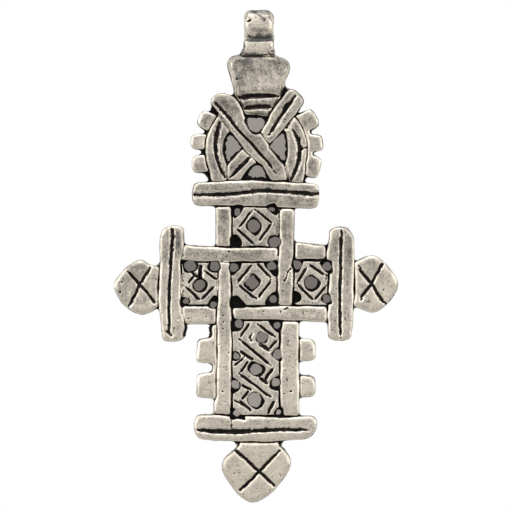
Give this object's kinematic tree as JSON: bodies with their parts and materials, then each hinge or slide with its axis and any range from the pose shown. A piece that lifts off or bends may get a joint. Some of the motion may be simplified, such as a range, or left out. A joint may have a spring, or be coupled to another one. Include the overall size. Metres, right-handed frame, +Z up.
{
  "type": "coptic cross pendant",
  "caption": "Flat pierced coptic cross pendant of plaited strips, with a wheel and cap at its head, lobed ends and a tubular bail to hang it by.",
  "frame": {"origin": "middle of the bail's eye, from which the pendant hangs", "axes": "+Z up along the shaft towards the bail, the engraved front looks along -Y, +X to the viewer's right"},
  "size_m": [0.0458, 0.0048, 0.0791],
  "materials": {
    "plate_silver": "white metal, plain scraped back, darkened in the pierced holes and seams",
    "strip_silver": "white metal, hand finished, rubbed bright on its edges, dark patina in the engraved lines",
    "panel_silver": "white metal, engraved and drilled, a little duller than the strips round it",
    "bail_silver": "white metal, worn smooth by the cord, dark where it meets the cap"
  },
  "bodies": {
    "root": {"ground_plate": "plate_silver", "neck_crossbar": "strip_silver", "foot_crossbar": "strip_silver", "left_end_bar": "strip_silver", "right_end_bar": "strip_silver", "upper_right_post": "strip_silver", "lower_right_rail": "strip_silver", "lower_left_post": "strip_silver", "upper_left_rail": "strip_silver", "upper_left_post": "strip_silver", "upper_right_rail": "strip_silver", "lower_left_rail": "strip_silver", "lower_right_post": "strip_silver", "upper_panel": "panel_silver", "centre_panel": "panel_silver", "left_panel": "panel_silver", "right_panel": "panel_silver", "lower_panel": "panel_silver", "strap_over": "strip_silver", "strap_under_upper": "strip_silver", "strap_under_lower": "strip_silver", "head_cap": "strip_silver", "ring_left": "strip_silver", "ring_right": "strip_silver", "ring_tooth_upper": "strip_silver", "ring_tooth_middle": "strip_silver", "ring_tooth_lower": "strip_silver", "ring_comb_right": "strip_silver", "shaft_comb_left": "strip_silver", "shaft_tooth_upper": "strip_silver", "shaft_tooth_lower": "strip_silver", "left_lobe": "strip_silver", "right_lobe": "strip_silver", "foot_lobe": "strip_silver", "bail_loop": "bail_silver", "bail_collar": "bail_silver"}
  },
  "joints": []
}
